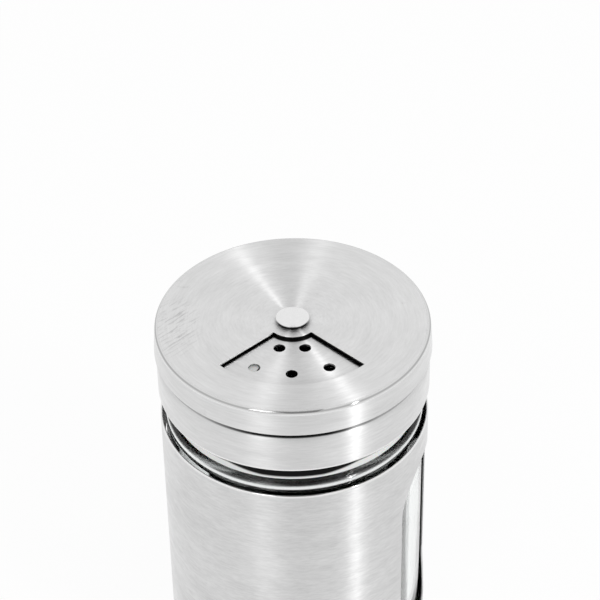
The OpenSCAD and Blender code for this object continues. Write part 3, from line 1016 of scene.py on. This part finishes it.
class SHAKER_OT_jar(bpy.types.Operator):
    """Makes the clear glass jar with its thread"""

    bl_idname = "shaker.jar"
    bl_label = "Glass Jar"

    def execute(self, context):
        s, c = bench().jar, bench().colours
        glass = clear_glass("clear_moulded_glass", c.glass, s)
        jar = turned("clear_jar", jar_profile(s), glass, closed=False)
        ridge = thread("neck_ridge", s.neck - 0.1 * MM, s.shoulder + s.thread_foot, s, s, glass)
        join = jar.modifiers.new("thread", "BOOLEAN")
        join.operation = "UNION"
        join.solver = "EXACT"
        join.object = ridge
        plain(jar)
        drop(ridge)
        soften(jar, 0)
        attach(jar, "jar")
        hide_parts("glass_jar")
        return {"FINISHED"}


class SHAKER_OT_seal(bpy.types.Operator):
    """Finishes the seal ring on the jar's lip"""

    bl_idname = "shaker.seal"
    bl_label = "Seal Ring"

    def execute(self, context):
        dress(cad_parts["seal_ring"], dusty_rubber("pale_seal_rubber", bench().colours.seal))
        return {"FINISHED"}


class SHAKER_OT_cap(bpy.types.Operator):
    """Makes the drawn cap shell with its shaker holes and pouring gap"""

    bl_idname = "shaker.cap"
    bl_label = "Cap Shell"

    def execute(self, context):
        s, c = bench().cap, bench().colours
        steel = brushed_steel(
            "cap_brushed_steel", c.cover_steel, 0.40, c.brushing, BRUSH_LINES, grain=8.0, contrast=0.12,
            scuffs=0.2, relief=0.3, sizes=s, dark=cap_painted_shade, bright=cap_polish_and_painted_highlight,
        )
        shell = turned("drawn_cap", cap_profile(s), steel, FINE_TURN)
        low, high = s.top - s.sheet * 3, s.top + s.sheet * 2
        small = [on_front(s.small_near, t) for t in (-19, 19)]
        small += [on_front(s.small_far, t) for t in (-29, 0, 29)]
        large = [on_front(s.large_near, 90)]
        large += [on_front(s.large_far, t) for t in (69, 111)]
        soften(take_away(
            shell,
            punches("small_punches", small, s.small_hole / 2, low, high, steel),
            punches("large_punches", large, s.large_hole / 2, low, high, steel),
            sector("gap_punch", s.pour_inner, s.pour_outer, low, high, s.pour_arc, math.pi),
        ), SHEET_EDGE)
        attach(shell, "cap")
        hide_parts("cap_shell")
        return {"FINISHED"}


class SHAKER_OT_insert(bpy.types.Operator):
    """Makes the white thread insert, its grip ribs and its thread"""

    bl_idname = "shaker.insert"
    bl_label = "Thread Insert"

    def execute(self, context):
        s, c, jar = bench().insert, bench().colours, bench().jar
        plastic = moulded_plastic("natural_white_plastic", c.insert, 0.34, s, insert_painted_shade)
        body = turned("white_insert", insert_profile(s), plastic)
        low, high = s.top - s.deck - 1.0 * MM, s.top + 1.0 * MM
        soften(take_away(body, *(
            sector("deck_punch", s.opening_inner, s.opening_outer, low, high, s.opening_arc,
                   s.opening_turn + quarter * math.pi / 2)
            for quarter in range(3)
        )), 0.08 * MM)
        rib = sector("grip_ribs", s.radius - 0.4 * MM, s.radius + s.rib_depth, s.rib_low, s.rib_high,
                     s.rib_arc, s.rib_turn, 6)
        grow(rib, spaced_tree(), count=s.ribs, material=plastic)
        soften(rib, 0.1 * MM)
        ridge = thread("insert_thread", s.bore + 0.1 * MM, jar.shoulder + s.thread_foot, jar, s, plastic)
        for piece in (body, rib, ridge):
            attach(piece, "cap")
        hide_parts("thread_insert")
        return {"FINISHED"}


class SHAKER_OT_pivot(bpy.types.Operator):
    """Makes the domed rivet, and finishes its spacer and washers"""

    bl_idname = "shaker.pivot"
    bl_label = "Rivet and Washers"

    def execute(self, context):
        s, c = bench().rivet, bench().colours
        steel = brushed_steel(
            "rivet_turned_steel", c.cover_steel, 0.20, 0.6, 3400.0, grain=3.0, contrast=0.04, sizes=s,
            dark=rivet_painted_shade,
        )
        rivet = turned("domed_rivet", rivet_profile(s), steel, 128, closed=False)
        soften(rivet, 0.05 * MM)
        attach(rivet, "pivot")
        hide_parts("rivet")
        plain_steel = polished_steel("plain_washer_steel", c.washer)
        dress(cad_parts["spring_washer"], plain_steel)
        dress(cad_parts["backing_washer"], plain_steel)
        dress(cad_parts["spacer_washer"], moulded_plastic("white_spacer_plastic", c.insert, 0.5))
        return {"FINISHED"}


class SHAKER_OT_cover(bpy.types.Operator):
    """Makes the turning cover with its quarter window"""

    bl_idname = "shaker.cover"
    bl_label = "Turning Cover"

    def execute(self, context):
        s, c = bench().cover, bench().colours
        steel = brushed_steel(
            "cover_turned_steel", c.cover_steel, 0.38, c.brushing, BRUSH_LINES, grain=7.0, contrast=0.12,
            scuffs=0.5, relief=0.3, sizes=s, dark=cover_painted_shade, bright=cover_polish_and_painted_highlight,
            scraped=(-25.0 * MM, -2.0 * MM, 6.5 * MM, 11.0 * MM),
        )
        cover = turned("turning_cover", cover_profile(s), steel, FINE_TURN)
        low, high = s.top - s.sheet * 3, s.top + s.sheet * 2
        window = sector("window_punch", s.window_inner, s.window_outer, low, high, s.window_arc, 0.0, 96)
        soften(take_away(cover, window), SHEET_EDGE)
        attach(cover, "cover")
        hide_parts("cover")
        return {"FINISHED"}


def outlook(azimuth, elevation):
    """The direction from the shaker to a place round it; the azimuth runs from the front to the right."""
    level = math.cos(elevation)
    return Vector((math.sin(azimuth) * level, -math.cos(azimuth) * level, math.sin(elevation)))


def lamp(name, azimuth, elevation, distance, width, height, level, lean=0.0):
    """A flat lamp that looks at the shaker: level is its brightness, and lean tips its top to the right."""
    away = outlook(math.radians(azimuth), math.radians(elevation))
    light = bpy.data.lights.new(name, "AREA")
    light.shape = "RECTANGLE"
    light.size = width
    light.size_y = height
    light.energy = level * math.pi * width * height
    thing = bpy.data.objects.new(name, light)
    bpy.context.scene.collection.objects.link(thing)
    thing.location = MIDDLE + away * distance
    thing.rotation_mode = "QUATERNION"
    thing.rotation_quaternion = away.to_track_quat("Z", "Y") @ Quaternion((0, 0, 1), -math.radians(lean))
    return thing


def flat(name, width, height, material, middle=Vector(), turning=Matrix.Identity(3)):
    """A flat rectangle."""
    mesh = bpy.data.meshes.new(name)
    signs = [(-1, -1), (1, -1), (1, 1), (-1, 1)]
    corners = [Vector((x * width / 2, y * height / 2, 0)) for x, y in signs]
    mesh.from_pydata([middle + turning @ corner for corner in corners], [], [(0, 1, 2, 3)])
    return dress(keep(name, mesh), material)


def card(name, azimuth, elevation, distance, width, height, material):
    """A flat studio card that faces the shaker and that the camera doesn't see."""
    away = outlook(math.radians(azimuth), math.radians(elevation))
    turning = away.to_track_quat("Z", "Y").to_matrix()
    thing = flat(name, width, height, material, MIDDLE + away * distance, turning)
    thing.visible_camera = False
    thing.visible_diffuse = False
    thing.visible_shadow = False
    return thing


def seen(f):
    """1 on the rays that show the stage: from the camera, off a shiny face or through glass."""
    outputs = f.add("ShaderNodeLightPath").socket.node.outputs
    kinds = ("Is Camera Ray", "Is Glossy Ray", "Is Transmission Ray")
    camera, shiny, through = (Term(f, outputs[kind]) for kind in kinds)
    return camera.work("MAXIMUM", shiny).work("MAXIMUM", through)


def floor_paint(colour):
    """A pale matt floor that takes the shadow and shows nearly white."""
    f = Finish("pale_floor")
    matt = f.add("ShaderNodeBsdfDiffuse", None, {"Color": rgb(colour)})
    white = f.add("ShaderNodeEmission", None, {"Color": WHITE, "Strength": 1.0})
    return f.close(f.add("ShaderNodeMixShader", None, {0: seen(f) * 0.92, 1: matt, 2: white}))


def card_paint(level):
    """An even grey that gives its own light."""
    f = Finish("dark_card")
    return f.close(f.add("ShaderNodeEmission", None, {"Color": (level, level, level, 1.0), "Strength": 1.0}))


def room_light(level):
    """The room: an even light on the shaker, and white where the room itself shows."""
    f = Finish("studio_room", "worlds", "ShaderNodeOutputWorld")
    dim = f.add("ShaderNodeBackground", None, {"Color": (level, level, level, 1.0)})
    white = f.add("ShaderNodeBackground", None, {"Color": WHITE})
    return f.close(f.add("ShaderNodeMixShader", None, {0: seen(f), 1: dim, 2: white}))


def sight(s):
    """The camera, at its distance from the point that it looks at."""
    optics = bpy.data.cameras.new("camera")
    optics.lens = s.lens
    optics.sensor_width = 36.0
    optics.clip_start = 0.01
    optics.clip_end = 20.0
    viewer = bpy.data.objects.new("camera", optics)
    bpy.context.scene.collection.objects.link(viewer)
    away = outlook(s.azimuth, s.elevation)
    viewer.location = Vector(s.aim) + away * s.distance
    viewer.rotation_mode = "QUATERNION"
    viewer.rotation_quaternion = away.to_track_quat("Z", "Y") @ Quaternion((0, 0, 1), -s.roll)
    return viewer


class SHAKER_OT_stage(bpy.types.Operator):
    """Makes the floor, the studio light and the camera"""

    bl_idname = "shaker.stage"
    bl_label = "Floor, Light and Camera"

    def execute(self, context):
        s, scene = bench().studio, context.scene
        floor = flat("floor", 6.0, 6.0, floor_paint(s.floor))
        card("dark_card_top", 7.0, 60.0, s.reach, width=0.36, height=1.0, material=card_paint(0.40))
        lamp("key_lamp", 50.5, 35.0, s.reach, width=0.03, height=0.44, level=36.0, lean=18.0)
        lamp("soft_lamp", -27.0, 45.0, s.reach, width=0.20, height=0.40, level=3.0)
        scene.world = room_light(s.room)
        scene.camera = sight(s)
        scene.view_settings.view_transform = "Standard"
        return {"FINISHED"}


OPERATORS = (
    SHAKER_OT_sleeve, SHAKER_OT_jar, SHAKER_OT_seal, SHAKER_OT_insert, SHAKER_OT_cap, SHAKER_OT_pivot,
    SHAKER_OT_cover, SHAKER_OT_stage,
)


class SHAKER_PT_panel(bpy.types.Panel):
    """Lists the steps and the settings of the shaker"""

    bl_idname = "SHAKER_PT_panel"
    bl_label = "Spice Shaker"
    bl_space_type = "VIEW_3D"
    bl_region_type = "UI"
    bl_category = "Shaker"

    def draw(self, context):
        for operator in OPERATORS:
            self.layout.operator(operator.bl_idname)
        for name, group in GROUPS.items():
            box = self.layout.box()
            box.label(text=name.capitalize())
            for field in group.__annotations__:
                box.prop(getattr(context.scene.shaker, name), field)


class ShakerSettings(bpy.types.PropertyGroup):
    """All settings of the shaker"""

    __annotations__ = {
        name: PointerProperty(name=name.capitalize(), description=group.__doc__, type=group)
        for name, group in GROUPS.items()
    }


CLASSES = (*GROUPS.values(), ShakerSettings, *OPERATORS, SHAKER_PT_panel)


def register():
    """Makes the settings, the operators and the panel known."""
    for item in CLASSES:
        bpy.utils.register_class(item)
    bpy.types.Scene.shaker = PointerProperty(
        name="Shaker", description="Settings of the shaker", type=ShakerSettings
    )


def unregister():
    """Takes the settings, the operators and the panel away again."""
    del bpy.types.Scene.shaker
    for item in reversed(CLASSES):
        bpy.utils.unregister_class(item)


def main():
    """Makes every piece in order."""
    register()
    for operator in OPERATORS:
        family, name = operator.bl_idname.split(".")
        getattr(getattr(bpy.ops, family), name)()
    bpy.context.view_layer.update()


if __name__ == "__main__":
    main()
